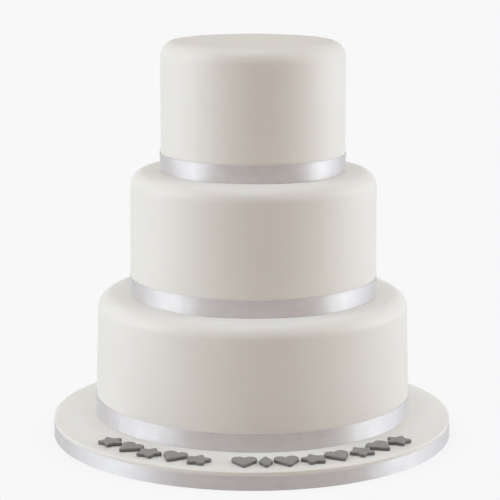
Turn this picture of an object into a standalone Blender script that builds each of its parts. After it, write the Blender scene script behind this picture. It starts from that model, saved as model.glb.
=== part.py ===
"""A three-tier celebration cake on its covered drum board.

Three round cakes, each covered in one sheet of white sugarpaste, stand on one another and on a
round board that is covered in the same paste. A satin ribbon runs round the foot of each tier and
round the board's edge. Thirteen flat cut-outs of dark grey sugarpaste lie along the front of the
board, in a group of five and a group of eight.

Units are metres. +Z is up, the cut-outs face -Y, and the origin is the middle of the board's
underside.
"""

import math

import bmesh
import bpy

# ---- Driving dimensions -------------------------------------------------------------------------

REST_GAP = 0.0003
ROUND_STEPS = 72

# The board: a 13 inch drum, 12 mm thick, under a thin sheet of sugarpaste.
DRUM_RADIUS = 0.16435
DRUM_THICKNESS = 0.012
DRUM_ICING_RADIUS = 0.1646
DRUM_ICING_THICKNESS = 0.0025
DRUM_ICING_ROUND = 0.001
RIM_ARC_STEPS = 3

# The tiers: 6, 8 and 10 inch cakes about 4 inches high. They stand back from the board's middle,
# which leaves a wide ledge in front of them for the cut-outs.
CAKE_SET_BACK = 0.0165
SHOULDER_ARC_STEPS = 6

# Each tier: radius below its rounded shoulder, how much wider it is at the foot, height, shoulder
# radius, and how far it stands to the right of the board's middle.
TIERS = {
    "bottom": {"radius": 0.1290, "flare": 0.0025, "height": 0.0994, "shoulder": 0.0121, "shift": 0.0005},
    "middle": {"radius": 0.1017, "flare": 0.0005, "height": 0.1020, "shoulder": 0.0121, "shift": 0.0009},
    "top": {"radius": 0.0760, "flare": 0.0001, "height": 0.1062, "shoulder": 0.0132, "shift": 0.0003},
}

# The ribbons: 15 mm satin round the tiers, and 12 mm round the drum, as thick as the drum itself.
TIER_RIBBON_WIDTH = 0.0146
DRUM_RIBBON_WIDTH = 0.0117
RIBBON_THICKNESS = 0.00045

# The cut-outs: rolled out to one thickness, and laid on an arc about the board's middle.
CUTOUT_RADIUS = 0.145
CUTOUT_HEIGHT = 0.020
CUTOUT_THICKNESS = 0.0028
CUTOUT_EDGE = 0.0006
CUTOUT_SPACE = 0.0015
FIRST_GROUP_START = math.radians(-53.6)
SECOND_GROUP_START = math.radians(-6.2)
FIRST_GROUP = ("star", "heart", "star", "heart", "star")
SECOND_GROUP = ("heart", "lozenge", "heart", "star", "heart", "star", "heart", "star")

# Laid by hand: each one is turned and nudged by up to this much, along a wave that steps on by
# HAND_RHYTHM radians from one cut-out to the next.
HAND_TURN = math.radians(2.0)
HAND_NUDGE = 0.0004
HAND_RHYTHM = 2.4

CUTOUT_WIDTHS = {"star": 0.0196, "heart": 0.0196, "lozenge": 0.0106}

STAR_POINTS = 5
STAR_HEIGHT = 0.0188
STAR_WAIST = 0.54
STAR_TIP_ROUND = 0.0014
STAR_NOTCH_ROUND = 0.0008

HEART_LOBE = 0.0052
HEART_TIP_ROUND = 0.0012
HEART_ARC_STEPS = 8

LOZENGE_ROUND = 0.0014
CORNER_ARC_STEPS = 2


# ---- Scene and materials ------------------------------------------------------------------------


def clear_scene():
    for obj in list(bpy.data.objects):
        bpy.data.objects.remove(obj, do_unlink=True)


def new_collection(name):
    collection = bpy.data.collections.new(name)
    bpy.context.scene.collection.children.link(collection)
    return collection


def principled(name, colour, roughness):
    material = bpy.data.materials.new(name)
    material.use_nodes = True
    shader = material.node_tree.nodes["Principled BSDF"]
    shader.inputs["Base Color"].default_value = (*colour, 1.0)
    shader.inputs["Roughness"].default_value = roughness
    shader.inputs["Metallic"].default_value = 0.0
    return material


# ---- Turned parts -------------------------------------------------------------------------------


def arc(centre_x, centre_y, radius, start, end, steps):
    """Points of an arc about (centre_x, centre_y), from one angle to another, both included."""
    points = []
    for step in range(steps + 1):
        angle = start + (end - start) * step / steps
        points.append((centre_x + radius * math.cos(angle), centre_y + radius * math.sin(angle)))
    return points


def turned(name, profile, closed, material, collection):
    """A solid of revolution about Z. The profile's points are (radius, height), top to bottom."""
    mesh = bpy.data.meshes.new(name)
    outline = bmesh.new()
    corners = [outline.verts.new((radius, 0.0, height)) for radius, height in profile]
    for first, second in zip(corners, corners[1:]):
        outline.edges.new((first, second))
    if closed:
        outline.edges.new((corners[-1], corners[0]))
    outline.to_mesh(mesh)
    outline.free()
    mesh.materials.append(material)
    obj = bpy.data.objects.new(name, mesh)
    collection.objects.link(obj)
    turn = obj.modifiers.new("Turn", "SCREW")
    turn.steps = ROUND_STEPS
    turn.render_steps = ROUND_STEPS
    turn.use_merge_vertices = True
    turn.merge_threshold = 0.00001
    turn.use_smooth_shade = True
    return obj


def disc_with_shoulder(foot_radius, wall_radius, height, shoulder, arc_steps):
    """Profile of a disc with a flat foot, a wall and a rounded top edge, from the axis to the axis."""
    rounding = arc(wall_radius - shoulder, height - shoulder, shoulder, math.pi / 2, 0.0, arc_steps)
    return [(0.0, height), *rounding, (foot_radius, 0.0), (0.0, 0.0)]


def band(foot_radius, top_radius, width):
    """Profile of a ribbon that stands on edge round a wall: a thin closed rectangle."""
    return [
        (top_radius + RIBBON_THICKNESS, width),
        (foot_radius + RIBBON_THICKNESS, 0.0),
        (foot_radius, 0.0),
        (top_radius, width),
    ]


# ---- The board ----------------------------------------------------------------------------------


def add_board(parts, foil, paste, satin):
    """The drum, the sheet of paste on it and the ribbon round its edge. Returns the height of its top."""
    drum_profile = [(0.0, DRUM_THICKNESS), (DRUM_RADIUS, DRUM_THICKNESS), (DRUM_RADIUS, 0.0), (0.0, 0.0)]
    turned("board_drum", drum_profile, False, foil, parts)

    icing_profile = disc_with_shoulder(
        DRUM_ICING_RADIUS, DRUM_ICING_RADIUS, DRUM_ICING_THICKNESS, DRUM_ICING_ROUND, RIM_ARC_STEPS
    )
    icing = turned("board_icing", icing_profile, False, paste, parts)
    icing.location.z = DRUM_THICKNESS + REST_GAP

    inner = DRUM_RADIUS + REST_GAP
    ribbon = turned("board_ribbon", band(inner, inner, DRUM_RIBBON_WIDTH), True, satin, parts)
    ribbon.location.z = REST_GAP / 2
    return icing.location.z + DRUM_ICING_THICKNESS


# ---- The tiers ----------------------------------------------------------------------------------


def add_tier(place, size, floor, parts, paste, satin):
    """One covered cake and the ribbon round its foot. Returns the height of its top."""
    foot_radius = size["radius"] + size["flare"]
    profile = disc_with_shoulder(
        foot_radius, size["radius"], size["height"], size["shoulder"], SHOULDER_ARC_STEPS
    )
    cake = turned(f"{place}_tier", profile, False, paste, parts)
    cake.location = (size["shift"], CAKE_SET_BACK, floor + REST_GAP)

    wall_height = size["height"] - size["shoulder"]
    narrowing = size["flare"] * TIER_RIBBON_WIDTH / wall_height
    inner = foot_radius + REST_GAP
    ribbon = turned(
        f"{place}_ribbon", band(inner, inner - narrowing, TIER_RIBBON_WIDTH), True, satin, parts
    )
    ribbon.location = cake.location
    return cake.location.z + size["height"]


# ---- The cut-outs -------------------------------------------------------------------------------


def rounded(corners, radii):
    """A closed outline with each corner replaced by an arc of the given radius."""
    points = []
    count = len(corners)
    for index, (corner, radius) in enumerate(zip(corners, radii)):
        before = corners[index - 1]
        after = corners[(index + 1) % count]
        to_before = math.atan2(before[1] - corner[1], before[0] - corner[0])
        to_after = math.atan2(after[1] - corner[1], after[0] - corner[0])
        opening = (to_before - to_after) % (2 * math.pi)
        outward = 1.0 if opening < math.pi else -1.0
        half = opening / 2 if outward > 0 else math.pi - opening / 2
        middle = to_after + opening / 2 + (0.0 if outward > 0 else math.pi)
        reach = radius / math.sin(half)
        centre = (corner[0] + reach * math.cos(middle), corner[1] + reach * math.sin(middle))
        sweep = math.pi / 2 - half
        back = middle + math.pi
        points += arc(*centre, radius, back - outward * sweep, back + outward * sweep, CORNER_ARC_STEPS)
    return points


def fitted(points, width, height):
    """The outline moved and stretched to a width and a height, with its box's middle at the origin."""
    across = [x for x, _ in points]
    along = [y for _, y in points]
    middle_x = (max(across) + min(across)) / 2
    middle_y = (max(along) + min(along)) / 2
    stretch_x = width / (max(across) - min(across))
    stretch_y = height / (max(along) - min(along))
    return [((x - middle_x) * stretch_x, (y - middle_y) * stretch_y) for x, y in points]


def star_outline():
    """A plump five-point star with blunt tips."""
    arm = CUTOUT_HEIGHT / 2
    half_step = math.pi / STAR_POINTS
    corners = []
    radii = []
    for point in range(2 * STAR_POINTS):
        is_tip = point % 2 == 0
        reach = arm if is_tip else arm * STAR_WAIST
        angle = math.pi / 2 + point * half_step
        corners.append((reach * math.cos(angle), reach * math.sin(angle)))
        radii.append(STAR_TIP_ROUND if is_tip else STAR_NOTCH_ROUND)
    return fitted(rounded(corners, radii), CUTOUT_WIDTHS["star"], STAR_HEIGHT)


def heart_outline():
    """Two round lobes and two straight flanks that meet in a blunt tip."""
    lobe_x = CUTOUT_WIDTHS["heart"] / 2 - HEART_LOBE
    drop = CUTOUT_HEIGHT - HEART_LOBE
    slope = math.atan2(drop, lobe_x) - math.asin(HEART_LOBE / math.hypot(lobe_x, drop))
    cleft = math.pi - math.acos(lobe_x / HEART_LOBE)
    right = arc(lobe_x, drop, HEART_LOBE, slope - math.pi / 2, cleft, HEART_ARC_STEPS)
    left = [(-x, y) for x, y in reversed(right[:-1])]
    tip_centre = HEART_TIP_ROUND / math.cos(slope)
    down = -math.pi / 2
    tip = arc(0.0, tip_centre, HEART_TIP_ROUND, down - slope, down + slope, CORNER_ARC_STEPS)
    return fitted([*tip, *right, *left], CUTOUT_WIDTHS["heart"], CUTOUT_HEIGHT)


def lozenge_outline():
    """A narrow diamond with blunt corners."""
    reach_x = CUTOUT_WIDTHS["lozenge"] / 2
    reach_y = CUTOUT_HEIGHT / 2
    corners = [(reach_x, 0.0), (0.0, reach_y), (-reach_x, 0.0), (0.0, -reach_y)]
    outline = rounded(corners, [LOZENGE_ROUND] * len(corners))
    return fitted(outline, CUTOUT_WIDTHS["lozenge"], CUTOUT_HEIGHT)


OUTLINES = {"star": star_outline, "heart": heart_outline, "lozenge": lozenge_outline}


def cutout_places():
    """(shape, angle) of each cut-out from left to right. Angle 0 is the front, positive to the right."""
    places = []
    for start, shapes in ((FIRST_GROUP_START, FIRST_GROUP), (SECOND_GROUP_START, SECOND_GROUP)):
        along = start * CUTOUT_RADIUS
        for shape in shapes:
            width = CUTOUT_WIDTHS[shape]
            places.append((shape, (along + width / 2) / CUTOUT_RADIUS))
            along += width + CUTOUT_SPACE
    return places


def add_cutout(number, shape, angle, floor, parts, paste):
    """One flat cut-out, its top towards the board's middle."""
    name = f"cutout_{number:02d}_{shape}"
    curve = bpy.data.curves.new(name, "CURVE")
    curve.dimensions = "2D"
    curve.fill_mode = "BOTH"
    curve.extrude = CUTOUT_THICKNESS / 2 - CUTOUT_EDGE
    curve.bevel_depth = CUTOUT_EDGE
    curve.bevel_resolution = 0
    curve.offset = -CUTOUT_EDGE
    outline = OUTLINES[shape]()
    spline = curve.splines.new("POLY")
    spline.points.add(len(outline) - 1)
    for point, (x, y) in zip(spline.points, outline):
        point.co = (x, y, 0.0, 1.0)
    spline.use_cyclic_u = True
    curve.materials.append(paste)
    obj = bpy.data.objects.new(name, curve)
    parts.objects.link(obj)

    radius = CUTOUT_RADIUS + HAND_NUDGE * math.cos(HAND_RHYTHM * number)
    obj.location = (
        radius * math.sin(angle),
        -radius * math.cos(angle),
        floor + REST_GAP + CUTOUT_THICKNESS / 2,
    )
    obj.rotation_euler.z = angle + HAND_TURN * math.sin(HAND_RHYTHM * number)
    return obj


# ---- The whole cake -----------------------------------------------------------------------------


def main():
    clear_scene()
    parts = new_collection("tiered_celebration_cake")
    white_paste = principled("white sugarpaste", (0.80, 0.78, 0.74), 0.45)
    grey_paste = principled("grey sugarpaste", (0.24, 0.23, 0.22), 0.55)
    satin = principled("silver satin ribbon", (0.60, 0.60, 0.62), 0.35)
    foil = principled("silver board foil", (0.62, 0.62, 0.63), 0.30)

    board_top = add_board(parts, foil, white_paste, satin)
    floor = board_top
    for place, size in TIERS.items():
        floor = add_tier(place, size, floor, parts, white_paste, satin)
    for number, (shape, angle) in enumerate(cutout_places(), start=1):
        add_cutout(number, shape, angle, board_top, parts, grey_paste)


main()
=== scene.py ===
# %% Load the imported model
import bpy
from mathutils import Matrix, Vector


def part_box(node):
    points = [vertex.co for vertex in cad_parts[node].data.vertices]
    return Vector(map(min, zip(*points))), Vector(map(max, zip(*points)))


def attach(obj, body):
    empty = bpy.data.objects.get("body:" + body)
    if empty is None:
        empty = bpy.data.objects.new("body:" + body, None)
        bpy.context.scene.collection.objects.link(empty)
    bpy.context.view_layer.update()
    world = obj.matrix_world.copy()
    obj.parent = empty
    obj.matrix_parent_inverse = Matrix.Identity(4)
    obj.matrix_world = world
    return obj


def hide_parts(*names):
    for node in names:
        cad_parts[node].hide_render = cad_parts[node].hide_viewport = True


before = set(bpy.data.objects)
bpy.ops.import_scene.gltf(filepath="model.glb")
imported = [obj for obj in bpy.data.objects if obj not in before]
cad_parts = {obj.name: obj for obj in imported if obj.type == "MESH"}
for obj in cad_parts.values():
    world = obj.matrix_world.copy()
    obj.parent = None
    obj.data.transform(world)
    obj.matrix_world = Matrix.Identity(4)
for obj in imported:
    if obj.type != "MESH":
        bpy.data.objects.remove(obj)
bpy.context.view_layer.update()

# %% [markdown]
# # A three-tier celebration cake
#
# The real cake is three round cakes, each under one sheet of white sugarpaste, on a board that is
# covered in the same paste. A satin ribbon hides the foot of each tier and the edge of the board,
# and flat shapes cut out of dark grey sugarpaste lie along the front.
#
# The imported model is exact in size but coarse: its round walls are 72 flat strips. Each piece below
# is made again with a finer skin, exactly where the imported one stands, and only the new one is
# shown. Lengths are in metres, as everywhere in Blender's own files, so 0.001 is a millimetre.

# %% Modules and the unit of length
import math

import bmesh
import bpy
from mathutils import Matrix, Vector, kdtree, noise

MM = 0.001

# %% [markdown]
# ## One way to make every piece
#
# A piece needs the same few things each time: a mesh, smooth shading, the body that it moves with,
# and the imported solids that it stands for. One function does all four, so that none is ever
# forgotten.


# %% Make a piece
def make_piece(name, points, faces, stands_for):
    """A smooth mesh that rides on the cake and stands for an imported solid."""
    mesh = bpy.data.meshes.new(name)
    mesh.from_pydata(points, [], faces)
    mesh.shade_smooth()
    piece = bpy.data.objects.new(name, mesh)
    bpy.context.scene.collection.objects.link(piece)
    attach(piece, "root")
    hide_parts(stands_for)
    print(f"{name}: {len(points)} points, {len(faces)} faces")
    return piece


# %% [markdown]
# ## Turned shapes
#
# A tier, the board and its covering are all round, so each one is a profile that goes round an
# axis. Blender's Screw modifier can do that, but here every point is wanted by itself afterwards,
# to make the surface a little uneven, and so the rings are made in code. A profile is a list of
# (radius, height) pairs that starts and ends on the axis.

# %% Turn a profile round an axis
TURNED_STEPS = 256


def arc(centre_x, centre_y, radius, start, end, steps):
    """Points of an arc, from one angle to another, both included."""
    angles = [start + (end - start) * step / steps for step in range(steps + 1)]
    return [(centre_x + radius * math.cos(a), centre_y + radius * math.sin(a)) for a in angles]


def between(start, end, steps):
    """Evenly spaced (radius, height) pairs after start, up to and without end."""
    shares = [step / steps for step in range(1, steps)]
    return [tuple(a + (b - a) * share for a, b in zip(start, end)) for share in shares]


def round_from_below(radius, height, rounding, steps):
    """A quarter round that starts underneath and ends on the side."""
    return arc(radius - rounding, height + rounding, rounding, -math.pi / 2, 0.0, steps)


def round_to_top(radius, height, rounding, steps):
    """A quarter round that starts on the side and ends on top."""
    return arc(radius - rounding, height - rounding, rounding, 0.0, math.pi / 2, steps)


def turned(profile, axis_x, axis_y, unevenness):
    """(points, faces) of a profile turned round, each point moved by unevenness(point, outward)."""
    points = [Vector((axis_x, axis_y, profile[0][1]))]
    for index in range(1, len(profile) - 1):
        radius, height = profile[index]
        along = Vector(profile[index + 1]) - Vector(profile[index - 1])
        slope = Vector((along.y, -along.x)).normalized()
        for step in range(TURNED_STEPS):
            angle = 2 * math.pi * step / TURNED_STEPS
            ray = Vector((math.cos(angle), math.sin(angle), 0.0))
            outward = Vector((ray.x * slope.x, ray.y * slope.x, slope.y))
            point = Vector((axis_x, axis_y, height)) + ray * radius
            points.append(point + outward * unevenness(point, outward))
    last_axis = Vector((axis_x, axis_y, profile[-1][1]))
    points.append(last_axis + Vector((0.0, 0.0, unevenness(last_axis, Vector((0.0, 0.0, 1.0))))))

    faces = []
    rings = len(profile) - 2
    top_ring = 1 + (rings - 1) * TURNED_STEPS
    for step in range(TURNED_STEPS):
        beside = (step + 1) % TURNED_STEPS
        faces.append((0, 1 + beside, 1 + step))
        faces.append((len(points) - 1, top_ring + step, top_ring + beside))
        for ring in range(rings - 1):
            below = 1 + ring * TURNED_STEPS
            above = below + TURNED_STEPS
            faces.append((below + step, below + beside, above + beside, above + step))
    return points, faces


# %% [markdown]
# ## The three tiers
#
# Sugarpaste is rolled out about 5 mm thick, lifted over the cake and rubbed flat with a plastic
# smoother. The sheet bends over the cake's top edge in a soft shoulder, 12 or 13 mm in radius.
# Hands and smoother leave swellings a few centimetres across and a tenth or two of a millimetre
# high. They are far too low to see as shapes, but without them the light runs down the wall as
# evenly as on a machined part. A noise function with that size and height puts them in.

# %% How uneven a hand-smoothed wall is
SWELL_WIDTH = 55 * MM
SWELL_HEIGHT = 0.16 * MM
RUB_WIDTH = 17 * MM
RUB_HEIGHT = 0.035 * MM
# The smaller noise is read in another place, so that the two never line up.
RUB_SHIFT = Vector((7.3, 1.9, 4.1))


def hand_smoothed(point, outward):
    """How far the paste stands out at a point. A face that looks straight down stays flat."""
    swelling = noise.noise(point / SWELL_WIDTH) * SWELL_HEIGHT
    rubbing = noise.noise(point / RUB_WIDTH + RUB_SHIFT) * RUB_HEIGHT
    return (swelling + rubbing) * max(0.0, min(1.0, outward.z + 1.0))


# %% The tiers' shapes
# How much wider the foot is than the wall below the shoulder, and the shoulder's radius.
TIER_SHAPES = {
    "bottom": (2.5 * MM, 12.1 * MM),
    "middle": (0.5 * MM, 12.1 * MM),
    "top": (0.1 * MM, 13.2 * MM),
}
FOOT_ROUND = 0.6 * MM
# Rows of faces from the middle of the underside up to the middle of the top.
UNDERSIDE_ROWS = 5
FOOT_ROWS = 3
WALL_ROWS = 26
SHOULDER_ROWS = 14
TOP_ROWS = 14

tiers = {}
for place, (flare, shoulder) in TIER_SHAPES.items():
    low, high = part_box(f"{place}_tier")
    foot = (high.x - low.x) / 2
    wall = foot - flare
    foot_edge = round_from_below(foot, low.z, FOOT_ROUND, FOOT_ROWS)
    shoulder_arc = round_to_top(wall, high.z, shoulder, SHOULDER_ROWS)
    profile = [
        (0.0, low.z),
        *between((0.0, low.z), foot_edge[0], UNDERSIDE_ROWS),
        *foot_edge,
        *between(foot_edge[-1], shoulder_arc[0], WALL_ROWS),
        *shoulder_arc,
        *between(shoulder_arc[-1], (0.0, high.z), TOP_ROWS),
        (0.0, high.z),
    ]
    points, faces = turned(profile, (low.x + high.x) / 2, (low.y + high.y) / 2, hand_smoothed)
    tiers[place] = make_piece(
        f"{place}_tier_covered", points, faces, f"{place}_tier"
    )

# %% [markdown]
# ## The covered board
#
# A cake drum is a thick card disc in embossed foil. Its top is covered with a thin sheet of paste
# that is trimmed at the edge, so in front a fine white edge shows above the ribbon. The knife
# leaves the soft edge hanging just over the drum, and the ribbon closes on it without a gap. The
# sheet lies flat, but not dead flat: the same hand smoothed it. The drum itself shows only from
# below, where the foil is folded over the rim in small pleats.

# %% The sheet of paste on the board
BOARD_EDGE_ROUND = 0.9 * MM
LIP_DROP = 0.9 * MM
LIP_WIDTH = 0.25 * MM
LIP_CORNER = 0.1 * MM
DRUM_EDGE_ROUND = 0.7 * MM
# Rows of faces again. The flat top has many, because its unevenness needs points.
SHEET_UNDER_ROWS = 6
LIP_ROWS = 4
RIM_ROWS = 6
SHEET_TOP_ROWS = 30

low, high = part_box("board_icing")
board_radius = (high.x - low.x) / 2
inside_lip = (board_radius - LIP_WIDTH - DRUM_EDGE_ROUND, low.z)
foot_of_lip = (board_radius - LIP_WIDTH, low.z - LIP_DROP)
lip_corner = (board_radius - LIP_CORNER, low.z - LIP_DROP)
lip_face = (board_radius, low.z - LIP_DROP + LIP_CORNER)
rim_arc = round_to_top(board_radius, high.z, BOARD_EDGE_ROUND, RIM_ROWS)
profile = [
    (0.0, low.z),
    *between((0.0, low.z), inside_lip, SHEET_UNDER_ROWS),
    inside_lip,
    foot_of_lip,
    lip_corner,
    lip_face,
    *between(lip_face, rim_arc[0], LIP_ROWS),
    *rim_arc,
    *between(rim_arc[-1], (0.0, high.z), SHEET_TOP_ROWS),
    (0.0, high.z),
]
points, faces = turned(profile, 0.0, 0.0, hand_smoothed)
board_icing = make_piece("board_covering", points, faces, "board_icing")

# %% The foil-covered drum
PLEATS = 84
PLEAT_HEIGHT = 0.12 * MM
FOLD_WIDTH = 16 * MM
# The pleats start softly over this width, and wander sideways as folds made by hand do.
FOLD_START = 3 * MM
PLEAT_WANDER = 3.0
WANDER_WIDTH = 30 * MM
# Rows of faces: across the underside, round each edge, up the side and across the top.
DRUM_UNDER_ROWS = 24
DRUM_EDGE_ROWS = 5
DRUM_SIDE_ROWS = 4
DRUM_TOP_ROWS = 6

low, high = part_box("board_drum")
drum_radius = (high.x - low.x) / 2


def pleated_foil(point, outward):
    """The foil's folds under the rim. They only go inwards, so that the board still stands flat."""
    radius = math.hypot(point.x, point.y)
    on_fold = min(1.0, max(0.0, (radius - (drum_radius - FOLD_WIDTH)) / FOLD_START))
    under = max(0.0, -outward.z)
    angle = math.atan2(point.y, point.x)
    wander = PLEAT_WANDER * noise.noise(point / WANDER_WIDTH)
    crease = abs(math.sin(PLEATS / 2 * angle + wander))
    return -PLEAT_HEIGHT * (1.0 - crease) * on_fold * under


lower_edge = round_from_below(drum_radius, low.z, DRUM_EDGE_ROUND, DRUM_EDGE_ROWS)
upper_edge = round_to_top(drum_radius, high.z, DRUM_EDGE_ROUND, DRUM_EDGE_ROWS)
profile = [
    (0.0, low.z),
    *between((0.0, low.z), lower_edge[0], DRUM_UNDER_ROWS),
    *lower_edge,
    *between(lower_edge[-1], upper_edge[0], DRUM_SIDE_ROWS),
    *upper_edge,
    *between(upper_edge[-1], (0.0, high.z), DRUM_TOP_ROWS),
    (0.0, high.z),
]
points, faces = turned(profile, 0.0, 0.0, pleated_foil)
drum = make_piece("foil_drum", points, faces, "board_drum")

# %% [markdown]
# ## The ribbons
#
# Satin ribbon is a woven strip with a firmer edge, the selvedge, along both sides. It is cut a
# little longer than the way round, pulled tight, and its end is stuck down over its beginning at
# the back. So each ribbon here is one strip that starts at the back, goes once round, climbs over
# its own start and ends there. The strip's cross-section is drawn once and carried along that way.
# The UV map holds the distance along and across the strip in metres, which the weave needs later.
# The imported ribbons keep 0.3 mm clear of the walls. Pulled tight, the cloth closes that gap along
# its middle. The paste swells out a little at the foot of a tier and carries the ribbon's edges
# with it, so the strip is slightly hollow. Its lower half then looks up into the light and its
# upper half looks down.

# %% A ribbon's cross-section
CLOTH_THICKNESS = 0.4 * MM
SELVEDGE_WIDTH = 0.7 * MM
SELVEDGE_BEAD = 0.03 * MM
CUT_CORNER = 0.05 * MM
FACE_STEPS = 8
# The share of the width over which each edge leaves the wall.
FLARED_SHARE = 0.6


def smooth_step(share):
    """A soft rise from 0 to 1 while share goes from 0 to 1."""
    share = max(0.0, min(1.0, share))
    return share * share * (3.0 - 2.0 * share)


def ribbon_section(width, pressed_in):
    """(share across, out) pairs round the section: up its outer face, down its inner one."""
    edge = SELVEDGE_WIDTH / width
    corner = CUT_CORNER / width
    foot = -pressed_in / width
    half = CLOTH_THICKNESS / 2
    bead = half + SELVEDGE_BEAD
    flat = 1 - 2 * edge
    outer = [
        (foot, half - CUT_CORNER),
        (foot + corner, half),
        (0.5 * edge, bead),
        (edge, half),
        *[(edge + flat * step / FACE_STEPS, half) for step in range(1, FACE_STEPS)],
        (1 - edge, half),
        (1 - 0.5 * edge, bead),
        (1 - corner, half),
        (1.0, half - CUT_CORNER),
    ]
    inner = [(share, -out) for share, out in reversed(outer)]
    return outer + inner


def stand_off(share, at_foot, at_lip):
    """How far the cloth stands off the wall: not in its middle, and more towards each edge."""
    to_foot = max(0.0, 1.0 - share / FLARED_SHARE)
    to_lip = max(0.0, 1.0 - (1.0 - share) / FLARED_SHARE)
    return at_foot * to_foot**2 + at_lip * to_lip**2


def strip_faces(steps, count):
    """The faces of a strip whose section has count points, closed at both of its ends."""
    faces = []
    for step in range(steps):
        here = step * count
        there = here + count
        for side in range(count):
            beside = (side + 1) % count
            faces.append((here + side, there + side, there + beside, here + beside))
    faces.append(tuple(range(count)))
    faces.append(tuple(reversed(range(steps * count, (steps + 1) * count))))
    return faces


# %% A ribbon's way round
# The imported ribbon's gap to the wall, and a hair more, so that the cloth touches it.
PULLED_IN = 0.32 * MM
JOIN_OVERLAP = 14 * MM
JOIN_CLIMB = 5 * MM
JOIN_GAP = 0.06 * MM
RIBBON_STEP = 1.6 * MM
# The upper edge rises and falls a little on its way, and the face ripples. Each height on the cake
# reads the noise somewhere else, so that no two ribbons wave alike.
EDGE_WAVE = 0.09 * MM
EDGE_WAVE_LENGTH = 48 * MM
EDGE_WAVE_SHIFT = 90
FACE_WAVE = 0.05 * MM
FACE_WAVE_ROUND = 15 * MM
FACE_WAVE_UP = 40 * MM
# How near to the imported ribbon's top a point must be to belong to its upper edge.
AT_TOP = 0.01 * MM


def ribbon(name, node, join_angle, rests_on, pressed_in=0.0, flare=(0.0, 0.0)):
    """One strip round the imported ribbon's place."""
    low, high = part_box(node)
    axis = Vector(((low.x + high.x) / 2, (low.y + high.y) / 2, 0.0))
    width = high.z - low.z
    foot_radius = (high.x - low.x) / 2 - PULLED_IN
    packed = [v.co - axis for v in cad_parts[node].data.vertices]
    at_lip = [math.hypot(p.x, p.y) for p in packed if p.z > high.z - AT_TOP]
    lip_radius = max(at_lip) - PULLED_IN
    section = ribbon_section(width, pressed_in)
    round_once = 2 * math.pi * foot_radius
    length = round_once + JOIN_OVERLAP
    steps = round(length / RIBBON_STEP)
    wave_slice = Vector((0, 0, low.z * EDGE_WAVE_SHIFT))

    points = []
    across = []
    for step in range(steps + 1):
        along = length * step / steps
        angle = join_angle + along / foot_radius
        ray = Vector((math.cos(angle), math.sin(angle), 0.0))
        climb = smooth_step((along - round_once + JOIN_CLIMB) / JOIN_CLIMB)
        lift = climb * (CLOTH_THICKNESS + JOIN_GAP)
        edge_wave = noise.noise(ray * foot_radius / EDGE_WAVE_LENGTH + wave_slice) * EDGE_WAVE
        for share, out in section:
            radius = foot_radius + (lip_radius - foot_radius) * share + stand_off(share, *flare)
            radius += out + lift - CLOTH_THICKNESS / 2
            height = low.z + share * width + edge_wave * share
            at = axis + ray * radius + Vector((0.0, 0.0, height))
            in_waves = (at.x / FACE_WAVE_ROUND, at.y / FACE_WAVE_ROUND, at.z / FACE_WAVE_UP)
            points.append(at + ray * noise.noise(Vector(in_waves)) * FACE_WAVE)
            across.append((along, share * width))

    piece = make_piece(name, points, strip_faces(steps, len(section)), node)
    strip_map = piece.data.uv_layers.new(name="ribbon strip")
    for loop in piece.data.loops:
        strip_map.data[loop.index].uv = across[loop.vertex_index]
    print(f"  cut {1000 * width:.1f} mm wide and {1000 * length:.0f} mm long")
    return piece


# %% The four ribbons
# The joins are at the back, where nobody looks, and not quite above one another. The lower edge of
# a tier's ribbon is pressed a little way into the soft paste under it, and leaves no gap there.
PRESSED_IN = 0.25 * MM
BOARD_JOIN = 96
# Of each tier's ribbon: where its join is, in degrees, and how far its two edges stand off.
TIER_RIBBONS = {
    "bottom": (86, (0.3 * MM, 0.1 * MM)),
    "middle": (92, (0.3 * MM, 0.1 * MM)),
    "top": (89, (0.3 * MM, 0.25 * MM)),
}

ribbons = [ribbon("board_ribbon_satin", "board_ribbon", math.radians(BOARD_JOIN), "foil_drum")]
for place, (join, flare) in TIER_RIBBONS.items():
    names = (f"{place}_ribbon_satin", f"{place}_ribbon")
    ribbons.append(ribbon(*names, math.radians(join), f"{place}_tier_covered", PRESSED_IN, flare))

# %% [markdown]
# ## The cut-outs
#
# The grey paste is rolled out just under 3 mm thick and stamped with small metal cutters. A cutter
# leaves an upright side and a top edge that is drawn down a little, and the soft paste keeps a
# faint unevenness from the rolling pin. Each shape starts as a closed outline in a 2D curve, which
# Blender fills and bevels. The result has long thin triangles, so it is remeshed into small even
# faces, which can then take the drawn-down edge and the unevenness.

# %% Helpers for outlines
CORNER_STEPS = 6


def rounded(corners, radii):
    """A closed outline with each corner replaced by an arc of the given radius."""
    points = []
    for index, (corner, radius) in enumerate(zip(corners, radii)):
        before = corners[index - 1]
        after = corners[(index + 1) % len(corners)]
        to_before = math.atan2(before[1] - corner[1], before[0] - corner[0])
        to_after = math.atan2(after[1] - corner[1], after[0] - corner[0])
        opening = (to_before - to_after) % (2 * math.pi)
        outward = 1.0 if opening < math.pi else -1.0
        half = opening / 2 if outward > 0 else math.pi - opening / 2
        middle = to_after + opening / 2 + (0.0 if outward > 0 else math.pi)
        reach = radius / math.sin(half)
        centre = (corner[0] + reach * math.cos(middle), corner[1] + reach * math.sin(middle))
        sweep = outward * (math.pi / 2 - half)
        back = middle + math.pi
        points += arc(*centre, radius, back - sweep, back + sweep, CORNER_STEPS)
    return points


def fitted(points, width, height):
    """The outline stretched to a width and a height, with its box's middle at the origin."""
    across = [x for x, _ in points]
    along = [y for _, y in points]
    middle = ((max(across) + min(across)) / 2, (max(along) + min(along)) / 2)
    stretch = (width / (max(across) - min(across)), height / (max(along) - min(along)))
    return [((x - middle[0]) * stretch[0], (y - middle[1]) * stretch[1]) for x, y in points]


# %% The three cutters
CUTTER_WIDTH = 19.6 * MM
CUTTER_HEIGHT = 20 * MM
STAR_HEIGHT = 18.8 * MM
LOZENGE_WIDTH = 10.6 * MM
LOBE_STEPS = 24


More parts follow.
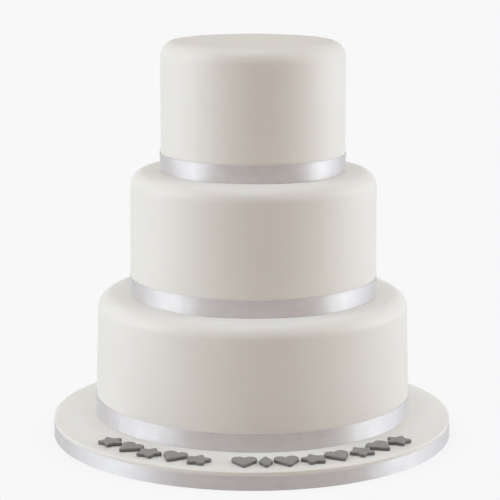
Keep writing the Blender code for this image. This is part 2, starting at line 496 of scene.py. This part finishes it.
def star():
    """A plump five-point star: long and short corners by turns, blunt at the tips."""
    tip_reach, tip_round = 10 * MM, 1.4 * MM
    notch_reach, notch_round = 5.4 * MM, 0.8 * MM
    corners = []
    for point in range(10):
        reach = tip_reach if point % 2 == 0 else notch_reach
        angle = math.pi / 2 + point * math.pi / 5
        corners.append((reach * math.cos(angle), reach * math.sin(angle)))
    return fitted(rounded(corners, [tip_round, notch_round] * 5), CUTTER_WIDTH, STAR_HEIGHT)


def heart():
    """Two round lobes and two straight flanks that meet in a blunt tip."""
    lobe, tip_round = 5.2 * MM, 1.2 * MM
    lobe_x, drop = CUTTER_WIDTH / 2 - lobe, CUTTER_HEIGHT - lobe
    slope = math.atan2(drop, lobe_x) - math.asin(lobe / math.hypot(lobe_x, drop))
    cleft = math.pi - math.acos(lobe_x / lobe)
    right = arc(lobe_x, drop, lobe, slope - math.pi / 2, cleft, LOBE_STEPS)
    left = [(-x, y) for x, y in reversed(right[:-1])]
    tip_y = tip_round / math.cos(slope)
    tip = arc(0.0, tip_y, tip_round, -math.pi / 2 - slope, -math.pi / 2 + slope, CORNER_STEPS)
    return fitted([*tip, *right, *left], CUTTER_WIDTH, CUTTER_HEIGHT)


def lozenge():
    """A narrow diamond with blunt corners."""
    side, tip, tip_round = 5.3 * MM, 10 * MM, 1.4 * MM
    corners = [(side, 0.0), (0.0, tip), (-side, 0.0), (0.0, -tip)]
    return fitted(rounded(corners, [tip_round] * 4), LOZENGE_WIDTH, CUTTER_HEIGHT)


CUTTERS = {
    "star": (star, CUTTER_WIDTH),
    "heart": (heart, CUTTER_WIDTH),
    "lozenge": (lozenge, LOZENGE_WIDTH),
}
for shape, (outline, _) in CUTTERS.items():
    print(f"{shape}: {len(outline())} points in its outline")

# %% Where each cut-out lies
# Two groups on an arc about the board's middle. Like shapes that a baker lays down, each is nudged
# and turned a little.
GROUPS = (
    (math.radians(-53.6), ("star", "heart", "star", "heart", "star")),
    (math.radians(-6.2), ("heart", "lozenge", "heart", "star", "heart", "star", "heart", "star")),
)
ARC_RADIUS = 145 * MM
SPACE_BETWEEN = 1.5 * MM
# How far a shape is nudged and turned at most. Both swing to and fro, and the last number is the
# angle, in radians, from one shape to the next.
NUDGE = 0.4 * MM
TWIST = math.radians(2.0)
SWING = 2.4


def cutout_places():
    """(node's name, shape, x, y, turn) of each cut-out, from left to right."""
    number = 0
    for start, shapes in GROUPS:
        along = start * ARC_RADIUS
        for shape in shapes:
            number += 1
            width = CUTTERS[shape][1]
            angle = (along + width / 2) / ARC_RADIUS
            along += width + SPACE_BETWEEN
            radius = ARC_RADIUS + NUDGE * math.cos(SWING * number)
            turn = angle + TWIST * math.sin(SWING * number)
            yield (
                f"cutout_{number:02d}_{shape}",
                shape,
                radius * math.sin(angle),
                -radius * math.cos(angle),
                turn,
            )


# %% Stamp one shape out of rolled paste
CUT_THICKNESS = 2.8 * MM
CUT_EDGE = 0.55 * MM
WELD_REACH = 0.005 * MM
SKIN_STEP = 0.3 * MM


def stamped(name, outline):
    """(points, faces) of a bevelled slab in the shape of the outline, in small even faces."""
    curve = bpy.data.curves.new(name, "CURVE")
    curve.dimensions = "2D"
    curve.fill_mode = "BOTH"
    curve.extrude = CUT_THICKNESS / 2 - CUT_EDGE
    curve.bevel_depth = CUT_EDGE
    curve.bevel_resolution = 3
    curve.offset = -CUT_EDGE
    spline = curve.splines.new("POLY")
    spline.points.add(len(outline) - 1)
    for point, (x, y) in zip(spline.points, outline):
        point.co = (x, y, 0.0, 1.0)
    spline.use_cyclic_u = True
    as_curve = bpy.data.objects.new(name, curve)
    bpy.context.scene.collection.objects.link(as_curve)
    graph = bpy.context.evaluated_depsgraph_get()
    filled = bpy.data.meshes.new_from_object(as_curve.evaluated_get(graph))
    slab = bpy.data.objects.new(name, filled)
    bpy.context.scene.collection.objects.link(slab)
    welded = bmesh.new()
    welded.from_mesh(slab.data)
    bmesh.ops.remove_doubles(welded, verts=welded.verts, dist=WELD_REACH)
    welded.to_mesh(slab.data)
    welded.free()
    skin = slab.modifiers.new("even skin", "REMESH")
    skin.mode = "VOXEL"
    skin.voxel_size = SKIN_STEP
    rub = slab.modifiers.new("rubbed soft", "SMOOTH")
    rub.factor = 0.5
    rub.iterations = 3
    graph = bpy.context.evaluated_depsgraph_get()
    even = slab.evaluated_get(graph).to_mesh()
    points = [v.co.copy() for v in even.vertices]
    faces = [tuple(f.vertices) for f in even.polygons]
    bpy.data.objects.remove(slab)
    bpy.data.objects.remove(as_curve)
    return points, faces


# %% Draw the top edge down
# How far the edge sinks, how far in from the outline that reaches, and how uneven the top is.
EDGE_DROP = 0.22 * MM
EDGE_REACH = 1.1 * MM
ROLLING_WIDTH = 5 * MM
ROLLING_HEIGHT = 0.06 * MM
ROLLING_SHIFT = 3.7
# Each side of the outline is marked with this many points, to measure the distance to it.
RIM_PARTS = 8


def draw_down(points, outline, number):
    """The top edge sinks towards the outline, and the top takes the rolling pin's unevenness."""
    rim = kdtree.KDTree(len(outline) * RIM_PARTS)
    for index, (x, y) in enumerate(outline):
        next_x, next_y = outline[(index + 1) % len(outline)]
        for part in range(RIM_PARTS):
            share = part / RIM_PARTS
            spot = (x + (next_x - x) * share, y + (next_y - y) * share, 0.0)
            rim.insert(spot, index * RIM_PARTS + part)
    rim.balance()
    # Each cut-out comes from its own place on the rolled sheet.
    own_place = Vector((number * ROLLING_SHIFT, 0.0, 0.0))
    moved = []
    for point in points:
        to_rim = rim.find((point.x, point.y, 0.0))[2]
        height_share = smooth_step(point.z / CUT_THICKNESS + 0.5)
        sunk = EDGE_DROP * math.exp(-to_rim / EDGE_REACH) * height_share
        pressed = noise.noise(point / ROLLING_WIDTH + own_place)
        lift = pressed * ROLLING_HEIGHT * height_share
        moved.append(point + Vector((0.0, 0.0, lift - sunk)))
    return moved


# %% Stamp all thirteen and lay them on the board
cutouts = []
for number, (node, shape, x, y, turn) in enumerate(cutout_places(), start=1):
    outline = CUTTERS[shape][0]()
    points, faces = stamped(node, outline)
    low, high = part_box(node)
    place = Matrix.Translation((x, y, (low.z + high.z) / 2)) @ Matrix.Rotation(turn, 4, "Z")
    points = [place @ point for point in draw_down(points, outline, number)]
    piece = make_piece(f"{node}_paste", points, faces, node)
    reach = [max(p[side] for p in points) - high[side] for side in (0, 1)]
    print(f"  within {1000 * max(map(abs, reach)):.2f} mm of the packed outline")
    cutouts.append(piece)

# %% [markdown]
# ## Materials
#
# Colours are easiest to compare as the usual hex values, but a shader calculates in linear light,
# so one function converts them. Another adds a node, with its settings and its inputs in one call.
# An input is either a value or the output of another node, which it then links. Some inputs share a
# name, and go by their number: a Mix node that mixes colours takes them at 6 and 7, and gives the
# mixture at output 2.


# %% Colour and node helpers
def from_hex(text):
    """A linear colour with full opacity from an sRGB hex value."""
    shares = [int(text[i : i + 2], 16) / 255 for i in (1, 3, 5)]
    linear = [s / 12.92 if s <= 0.04045 else ((s + 0.055) / 1.055) ** 2.4 for s in shares]
    return (*linear, 1.0)


def add(tree, kind, settings=None, **inputs):
    """A new node. An input's name has underscores for spaces, and _6 means its input number 6."""
    made = tree.nodes.new(kind)
    for setting, value in (settings or {}).items():
        setattr(made, setting, value)
    for key, value in inputs.items():
        name = key.replace("_", " ")
        socket = made.inputs[int(name[1:])] if name[1:].isdigit() else made.inputs[name]
        if isinstance(value, bpy.types.NodeSocket):
            tree.links.new(value, socket)
        else:
            socket.default_value = value
    return made


def new_finish(name):
    """(material, its node tree, its shader, its object coordinates in metres)."""
    material = bpy.data.materials.new(name)
    material.use_nodes = True
    tree = material.node_tree
    shader = tree.nodes["Principled BSDF"]
    place = add(tree, "ShaderNodeTexCoord").outputs["Object"]
    return material, tree, shader, place


# %% [markdown]
# ### White sugarpaste
#
# Sugarpaste is icing sugar kneaded with glucose and a little fat. Rolled and polished with a
# smoother it is a very pale, slightly warm white with a dull satin gloss, much like eggshell paint.
# Light goes a millimetre or so into it, which softens small shadows. Close up there are faint
# cloudy patches where it was kneaded, a fine sugar grain, and here and there a pinhole where air
# was trapped. Each pinhole is dented and also painted darker inside, as painted shade.

# %% White sugarpaste: colour
PASTE_CLOUD = 38 * MM
PASTE_RUB = 9 * MM
# Real icing sugar grains are about 0.05 mm. They are drawn ten times as coarse, to show at all.
PASTE_GRAIN = 0.5 * MM
PINHOLE_SPACING = 11 * MM
# A pinhole's radius, as a share of the spacing: about 0.4 mm.
PINHOLE_SIZE = 0.035

white_paste, tree, shader, place = new_finish("white sugarpaste, hand polished")
clouds = add(tree, "ShaderNodeTexNoise", Vector=place, Scale=1 / PASTE_CLOUD, Detail=3.0)
rubbed = add(tree, "ShaderNodeTexNoise", Vector=place, Scale=1 / PASTE_RUB, Detail=2.0)
grain = add(tree, "ShaderNodeTexNoise", Vector=place, Scale=1 / PASTE_GRAIN, Detail=2.0)
colour = add(
    tree,
    "ShaderNodeMix",
    {"data_type": "RGBA"},
    Factor=clouds.outputs["Fac"],
    _6=from_hex("#e7e5e0"),
    _7=from_hex("#e3e1db"),
)
pinholes = add(
    tree,
    "ShaderNodeTexVoronoi",
    {"feature": "F1"},
    Vector=place,
    Scale=1 / PINHOLE_SPACING,
    Randomness=1.0,
)
pit = add(
    tree,
    "ShaderNodeMapRange",
    {"interpolation_type": "SMOOTHSTEP"},
    Value=pinholes.outputs["Distance"],
    From_Min=0.0,
    From_Max=PINHOLE_SIZE,
    To_Min=1.0,
    To_Max=0.0,
)
# Inside each pinhole the colour turns darker. This is painted shade; the bump below dents the hole
# too.
with_painted_pinhole_shade = add(
    tree,
    "ShaderNodeMix",
    {"data_type": "RGBA"},
    Factor=pit.outputs["Result"],
    _6=colour.outputs[2],
    _7=from_hex("#d8d4cb"),
)
tree.links.new(with_painted_pinhole_shade.outputs[2], shader.inputs["Base Color"])
print(f"{white_paste.name}: {len(tree.nodes)} nodes so far")

# %% White sugarpaste: gloss and relief
gloss = add(
    tree,
    "ShaderNodeMapRange",
    Value=rubbed.outputs["Fac"],
    From_Min=0.3,
    From_Max=0.7,
    To_Min=0.44,
    To_Max=0.56,
)
fine = add(
    tree,
    "ShaderNodeBump",
    Height=grain.outputs["Fac"],
    Strength=0.35,
    Distance=0.012 * MM,
)
dimpled = add(
    tree,
    "ShaderNodeBump",
    {"invert": True},
    Height=pit.outputs["Result"],
    Strength=1.0,
    Distance=0.15 * MM,
    Normal=fine.outputs["Normal"],
)
tree.links.new(gloss.outputs["Result"], shader.inputs["Roughness"])
tree.links.new(dimpled.outputs["Normal"], shader.inputs["Normal"])
shader.inputs["IOR"].default_value = 1.46
shader.inputs["Subsurface Weight"].default_value = 0.3
shader.inputs["Subsurface Radius"].default_value = (1.0, 0.75, 0.5)
shader.inputs["Subsurface Scale"].default_value = 1.2 * MM
for piece in [*tiers.values(), board_icing]:
    piece.data.materials.append(white_paste)
print(f"{white_paste.name}: {len(tree.nodes)} nodes, on {white_paste.users} pieces")

# %% [markdown]
# ### Dark grey sugarpaste
#
# The same paste with black colour kneaded in. Colour paste never mixes in quite evenly, so there
# are lighter and darker streaks, and the cornflour that keeps it off the table leaves a dry, matt,
# slightly dusty face with pale specks. The upright cut sides are painted in one flat, much darker
# grey: painted shade, for the little light that reaches them from the dim front. The direction that
# a face looks in tells the two apart.

# %% Dark grey sugarpaste: the dusty face
GREY_MARBLE = 6 * MM
GREY_MOTTLE = 1.6 * MM
# Cornflour specks are far below 0.1 mm. They are drawn as coarse as the clots they form.
DUST_GRAIN = 0.7 * MM

grey_paste, tree, shader, place = new_finish("dark grey sugarpaste, rolled and stamped")
marble = add(
    tree,
    "ShaderNodeTexNoise",
    Vector=place,
    Scale=1 / GREY_MARBLE,
    Detail=3.0,
    Distortion=0.8,
)
mottle = add(tree, "ShaderNodeTexNoise", Vector=place, Scale=1 / GREY_MOTTLE, Detail=2.0)
dust = add(tree, "ShaderNodeTexNoise", Vector=place, Scale=1 / DUST_GRAIN, Detail=2.0)
colour = add(
    tree,
    "ShaderNodeMix",
    {"data_type": "RGBA"},
    Factor=marble.outputs["Fac"],
    _6=from_hex("#8f8c8a"),
    _7=from_hex("#979492"),
)
blotch = add(
    tree,
    "ShaderNodeMapRange",
    Value=mottle.outputs["Fac"],
    From_Min=0.35,
    From_Max=0.65,
    To_Min=0.0,
    To_Max=0.5,
)
mottled = add(
    tree,
    "ShaderNodeMix",
    {"data_type": "RGBA"},
    Factor=blotch.outputs["Result"],
    _6=colour.outputs[2],
    _7=from_hex("#848180"),
)
specks = add(
    tree,
    "ShaderNodeMapRange",
    Value=dust.outputs["Fac"],
    From_Min=0.6,
    From_Max=0.75,
    To_Min=0.0,
    To_Max=0.35,
)
dusty = add(
    tree,
    "ShaderNodeMix",
    {"data_type": "RGBA"},
    Factor=specks.outputs["Result"],
    _6=mottled.outputs[2],
    _7=from_hex("#b4b1ae"),
)
print(f"{grey_paste.name}: {len(tree.nodes)} nodes so far")

# %% Dark grey sugarpaste: painted shade on the sides, gloss and relief
facing = add(tree, "ShaderNodeTexCoord").outputs["Normal"]
upward = add(tree, "ShaderNodeSeparateXYZ", Vector=facing).outputs["Z"]
# The mask is 1 on the top and 0 on the upright sides, where painted shade goes.
painted_side_shade_mask = add(
    tree,
    "ShaderNodeMapRange",
    {"interpolation_type": "SMOOTHSTEP"},
    Value=upward,
    From_Min=0.1,
    From_Max=0.8,
    To_Min=0.0,
    To_Max=1.0,
)
# The upright sides take one flat darker grey, which is painted shade; the top keeps its dusty colour.
with_painted_side_shade = add(
    tree,
    "ShaderNodeMix",
    {"data_type": "RGBA"},
    Factor=painted_side_shade_mask.outputs["Result"],
    _6=from_hex("#777574"),
    _7=dusty.outputs[2],
)
dryness = add(
    tree,
    "ShaderNodeMapRange",
    Value=mottle.outputs["Fac"],
    From_Min=0.3,
    From_Max=0.7,
    To_Min=0.58,
    To_Max=0.74,
)
rough = add(
    tree,
    "ShaderNodeBump",
    Height=dust.outputs["Fac"],
    Strength=0.6,
    Distance=0.04 * MM,
)
tree.links.new(with_painted_side_shade.outputs[2], shader.inputs["Base Color"])
tree.links.new(dryness.outputs["Result"], shader.inputs["Roughness"])
tree.links.new(rough.outputs["Normal"], shader.inputs["Normal"])
shader.inputs["IOR"].default_value = 1.46
for piece in cutouts:
    piece.data.materials.append(grey_paste)
print(f"{grey_paste.name}: {len(tree.nodes)} nodes, on {grey_paste.users} pieces")

# %% [markdown]
# ### Polyester satin
#
# In satin weave the long threads float over four cross threads before they dip under one, so the
# front is nearly all smooth thread lying along the ribbon. Each thread is a tiny shining cylinder.
# It throws light up and down but hardly to the sides, so the highlights stand as upright bands
# while the rest of the ribbon goes grey. The shader's anisotropy does that, with its direction
# taken from the strip's own UV map. About half of the light is thrown so, and the other half goes
# into the white threads and comes out matt, hence a metallic value of one half. Uneven tension
# shows as soft upright bars and a cloudy shimmer, and the threads as faint lines along the strip.

# %% Polyester satin: threads, bars and shimmer along the strip
# Satin thread lies at about 0.1 mm. It is drawn at 0.8 mm, the finest that still shows as lines.
THREAD_PITCH = 0.8 * MM
FLOAT_LENGTH = 4.0 * MM
# The weaver's reed leaves upright bars, and handling leaves a cloudy shimmer.
REED_BAR = (3.0 * MM, 16 * MM)
SHIMMER = (11 * MM, 8 * MM)
THREAD_LINE = (50 * MM, 2.5 * MM)

satin, tree, shader, _ = new_finish("silver-white polyester satin, woven")
strip = add(tree, "ShaderNodeUVMap", {"uv_map": "ribbon strip"}).outputs["UV"]


def strip_noise(along_size, across_size, detail):
    """Noise with its own size along and across the ribbon."""
    scale = (1 / along_size, 1 / across_size, 1.0)
    stretched = add(tree, "ShaderNodeMapping", Vector=strip, Scale=scale).outputs["Vector"]
    found = add(tree, "ShaderNodeTexNoise", Vector=stretched, Scale=1.0, Detail=detail)
    return found.outputs["Fac"]


floats = strip_noise(FLOAT_LENGTH, THREAD_PITCH, 1.0)
lines = strip_noise(*THREAD_LINE, 1.0)
bars = strip_noise(*REED_BAR, 1.0)
shimmer = strip_noise(*SHIMMER, 2.0)
print(f"{satin.name}: {len(tree.nodes)} nodes so far")

# %% Polyester satin: tone, gloss and relief
# The three are added up, the shimmer at full strength. The sum is 0.925 on average. The lightest
# and the darkest cloth lie far to either side of that, so that the tone stays gentle.
BAR_SHARE = 0.3
LINE_SHARE = 0.55
LIGHTEST_AT = 0.445
DARKEST_AT = 1.405

sum_up = {"operation": "MULTIPLY_ADD"}
barred = add(tree, "ShaderNodeMath", sum_up, _0=bars, _1=BAR_SHARE, _2=shimmer)
uneven = add(
    tree, "ShaderNodeMath", sum_up, _0=lines, _1=LINE_SHARE, _2=barred.outputs["Value"]
)
tone = add(
    tree,
    "ShaderNodeMapRange",
    Value=uneven.outputs["Value"],
    From_Min=LIGHTEST_AT,
    From_Max=DARKEST_AT,
    To_Min=0.0,
    To_Max=1.0,
)
colour = add(
    tree,
    "ShaderNodeMix",
    {"data_type": "RGBA"},
    Factor=tone.outputs["Result"],
    _6=from_hex("#ebeaec"),
    _7=from_hex("#e2e0e2"),
)
gloss = add(
    tree,
    "ShaderNodeMapRange",
    Value=shimmer,
    From_Min=0.3,
    From_Max=0.7,
    To_Min=0.58,
    To_Max=0.62,
)
threads = add(
    tree,
    "ShaderNodeBump",
    Height=floats,
    Strength=0.4,
    Distance=0.02 * MM,
)
by_strip = {"direction_type": "UV_MAP", "uv_map": "ribbon strip"}
along = add(tree, "ShaderNodeTangent", by_strip)
tree.links.new(colour.outputs[2], shader.inputs["Base Color"])
tree.links.new(gloss.outputs["Result"], shader.inputs["Roughness"])
tree.links.new(threads.outputs["Normal"], shader.inputs["Normal"])
tree.links.new(along.outputs["Tangent"], shader.inputs["Tangent"])
shader.inputs["Metallic"].default_value = 0.5
shader.inputs["IOR"].default_value = 1.57
shader.inputs["Specular IOR Level"].default_value = 0.0
shader.inputs["Anisotropic"].default_value = 0.9
shader.inputs["Anisotropic Rotation"].default_value = 0.25
for piece in ribbons:
    piece.data.materials.append(satin)
print(f"{satin.name}: {len(tree.nodes)} nodes, on {satin.users} pieces")

# %% [markdown]
# ### Embossed board foil
#
# The drum is wrapped in aluminium foil on paper, rolled with a small pattern that hides scratches.
# It is a bright metal, blurred by the rolling.

# %% Embossed board foil
EMBOSS_PITCH = 4 * MM
SCUFF_WIDTH = 18 * MM

foil, tree, shader, place = new_finish("silver board foil, embossed")
cells = add(
    tree,
    "ShaderNodeTexVoronoi",
    {"feature": "DISTANCE_TO_EDGE"},
    Vector=place,
    Scale=1 / EMBOSS_PITCH,
    Randomness=0.35,
)
scuffs = add(tree, "ShaderNodeTexNoise", Vector=place, Scale=1 / SCUFF_WIDTH, Detail=4.0)
pattern = add(
    tree,
    "ShaderNodeMapRange",
    {"interpolation_type": "SMOOTHSTEP"},
    Value=cells.outputs["Distance"],
    From_Min=0.02,
    From_Max=0.16,
    To_Min=0.0,
    To_Max=1.0,
)
colour = add(
    tree,
    "ShaderNodeMix",
    {"data_type": "RGBA"},
    Factor=scuffs.outputs["Fac"],
    _6=from_hex("#e4e5e7"),
    _7=from_hex("#d6d7d9"),
)
gloss = add(
    tree,
    "ShaderNodeMapRange",
    Value=scuffs.outputs["Fac"],
    From_Min=0.3,
    From_Max=0.7,
    To_Min=0.22,
    To_Max=0.34,
)
embossed = add(
    tree,
    "ShaderNodeBump",
    Height=pattern.outputs["Result"],
    Strength=0.8,
    Distance=0.08 * MM,
)
tree.links.new(colour.outputs[2], shader.inputs["Base Color"])
tree.links.new(gloss.outputs["Result"], shader.inputs["Roughness"])
tree.links.new(embossed.outputs["Normal"], shader.inputs["Normal"])
shader.inputs["Metallic"].default_value = 1.0
drum.data.materials.append(foil)
print(f"{foil.name}: {len(tree.nodes)} nodes, on {foil.users} piece")

# %% [markdown]
# ## Floor and surroundings
#
# The cake stands on a plain white sweep. To the camera the sweep is the same pale white everywhere,
# with only a breath of shadow where something touches it. To every other ray it is ordinary matt
# white paper, which throws some light back up at the board. The world behind it does the same: the
# camera sees the pale white, and the cake gets the faint warm light of a room.

# %% Floor
PALE = from_hex("#f8f8f8")
PAPER = (0.7, 0.7, 0.7, 1.0)
FLOOR_SIZE = 60.0
# How far the shadow of a touch reaches, and what it leaves of the light.
CONTACT_REACH = 25 * MM
CONTACT_SHADE = 0.93

floor_mesh = bpy.data.meshes.new("floor")
half = FLOOR_SIZE / 2
corners = [(-half, -half, 0), (half, -half, 0), (half, half, 0), (-half, half, 0)]
floor_mesh.from_pydata(corners, [], [(0, 1, 2, 3)])
floor = bpy.data.objects.new("floor", floor_mesh)
bpy.context.scene.collection.objects.link(floor)

paper = bpy.data.materials.new("white paper sweep")
paper.use_nodes = True
tree = paper.node_tree
tree.nodes.clear()
seen = add(tree, "ShaderNodeLightPath").outputs["Is Camera Ray"]
touch = add(tree, "ShaderNodeAmbientOcclusion", {"samples": 12}, Distance=CONTACT_REACH)
shade = add(
    tree,
    "ShaderNodeMapRange",
    Value=touch.outputs["AO"],
    From_Min=0.0,
    From_Max=1.0,
    To_Min=CONTACT_SHADE,
    To_Max=1.0,
)
glow = add(tree, "ShaderNodeEmission", Color=PALE, Strength=shade.outputs["Result"])
matt = add(tree, "ShaderNodeBsdfDiffuse", Color=PAPER)
either = add(tree, "ShaderNodeMixShader", _0=seen, _1=matt.outputs[0], _2=glow.outputs[0])
add(tree, "ShaderNodeOutputMaterial", Surface=either.outputs[0])
floor_mesh.materials.append(paper)
print(f"floor: {FLOOR_SIZE:.0f} m square")

# %% Surroundings
# Linear red, green and blue, as for the lamps below: it is a light, not a paint.
ROOM_LIGHT = (0.434, 0.326, 0.250, 1.0)

world = bpy.data.worlds.new("studio")
world.use_nodes = True
bpy.context.scene.world = world
tree = world.node_tree
tree.nodes.clear()
seen = add(tree, "ShaderNodeLightPath").outputs["Is Camera Ray"]
beyond = add(tree, "ShaderNodeBackground", Color=PALE, Strength=1.0)
room = add(tree, "ShaderNodeBackground", Color=ROOM_LIGHT, Strength=1.0)
either = add(tree, "ShaderNodeMixShader", _0=seen, _1=room.outputs[0], _2=beyond.outputs[0])
add(tree, "ShaderNodeOutputWorld", Surface=either.outputs[0])
print("the room's light:", ROOM_LIGHT[:3])

# %% [markdown]
# ## Soft boxes
#
# Satin is a strict judge of light: every lamp shows in it as a bright band, half way round from the
# camera to the lamp. The bands of the real ribbons lie some 45 degrees to either side, so the big
# soft boxes stand almost square to the camera's line, left and right: on each side a low wide one
# beside the cake, and a tall narrow one above it. The ribbons' outer ends mirror what is behind the
# cake, which is a lit pale wall. The front gets only the warm light that the room gives back, and
# that is why the middle of each tier is the darkest and the warmest. The ledges have a box of their
# own overhead. It hangs high, so that it is almost as bright on the board as it is on the top tier,
# and a little in front, so that no tier shades the ledge at its foot.

# %% Where the soft boxes are
# Azimuth and width are angles round the cake, in degrees from the camera, positive to the right.
# Heights are in metres above the floor. The last three numbers are red, green and blue radiance.
BOX_DISTANCE = 1.5
STANDING_BOXES = {
    "tall left box": (-80, 20, (0.5, 1.4), (4.18, 4.68, 4.41)),
    "tall right box": (90, 20, (0.5, 1.4), (3.48, 4.11, 3.93)),
    "low left box": (-80, 60, (0.0, 0.5), (2.72, 3.10, 3.61)),
    "low right box": (90, 40, (0.0, 0.5), (3.74, 4.00, 4.46)),
    "far right box": (120, 20, (0.0, 0.5), (1.46, 1.68, 2.06)),
    "wall, behind": (180, 40, (0.0, 0.5), (1.22, 1.51, 1.60)),
    "wall, behind left": (-145, 30, (0.0, 0.5), (0.07, 0.24, 0.32)),
    "wall, behind right": (145, 30, (0.0, 0.5), (0.07, 0.24, 0.32)),
}
# The overhead box points straight down. Its place, its width and depth, and its radiance.
OVERHEAD_PLACE = Vector((0.0, -0.25, 3.6))
OVERHEAD_SIZE = (2.0, 0.25)
OVERHEAD_RADIANCE = (20.3, 25.6, 31.4)


# %% Hang the soft boxes
def soft_box(name, size, radiance, place, aim):
    """A rectangular lamp that the camera doesn't see. Its size and radiance give its power."""
    brightest = max(radiance)
    lamp = bpy.data.lights.new(name, "AREA")
    lamp.shape = "RECTANGLE"
    lamp.size, lamp.size_y = size
    lamp.color = [share / brightest for share in radiance]
    lamp.energy = math.pi * size[0] * size[1] * brightest
    light = bpy.data.objects.new(name, lamp)
    light.location = place
    light.rotation_euler = (aim - place).to_track_quat("-Z", "Y").to_euler()
    light.visible_camera = False
    bpy.context.scene.collection.objects.link(light)
    print(f"{name}: {size[0]:.2f} x {size[1]:.2f} m, {lamp.energy:.1f} W")


def round_the_cake(azimuth, distance, height):
    """A place at an azimuth in degrees and a distance from the cake's axis."""
    angle = math.radians(azimuth)
    return Vector((distance * math.sin(angle), -distance * math.cos(angle), height))


for name, (azimuth, width, (foot, head), radiance) in STANDING_BOXES.items():
    size = (2 * BOX_DISTANCE * math.tan(math.radians(width / 2)), head - foot)
    middle = (foot + head) / 2
    place = round_the_cake(azimuth, BOX_DISTANCE, middle)
    soft_box(name, size, radiance, place, Vector((0.0, 0.0, middle)))

straight_down = OVERHEAD_PLACE - Vector((0.0, 0.0, 1.0))
soft_box("overhead box", OVERHEAD_SIZE, OVERHEAD_RADIANCE, OVERHEAD_PLACE, straight_down)

# %% [markdown]
# ## Camera
#
# Seen from close by, a tall cake seems to lean outwards at the top. From a metre and a half, with a
# long lens, its sides stay nearly upright. How flat the round edges look gives the camera's height:
# in the photograph the top is a narrow ellipse and the board a wider one, so the lens is a little
# above the cake and looks down by 11 degrees.

# %% Camera
LENS_MM = 132.97
SENSOR_MM = 36.0
CAMERA_PLACE = (-1.86 * MM, -1491.94 * MM, 448.5 * MM)
CAMERA_PITCH = math.radians(11.233)
CAMERA_ROLL = math.radians(0.139)
FARTHEST_SEEN = 100.0

camera_data = bpy.data.cameras.new("camera")
camera_data.lens = LENS_MM
camera_data.sensor_width = SENSOR_MM
camera_data.clip_end = FARTHEST_SEEN
camera = bpy.data.objects.new("camera", camera_data)
pitch = Matrix.Rotation(math.pi / 2 - CAMERA_PITCH, 4, "X")
roll = Matrix.Rotation(CAMERA_ROLL, 4, "Z")
tilt = pitch @ roll
camera.matrix_world = Matrix.Translation(CAMERA_PLACE) @ tilt
bpy.context.scene.collection.objects.link(camera)
bpy.context.scene.camera = camera
bpy.context.scene.view_settings.view_transform = "Standard"
print(f"camera: {LENS_MM:.0f} mm lens, {CAMERA_PLACE[2]:.2f} m above the floor")
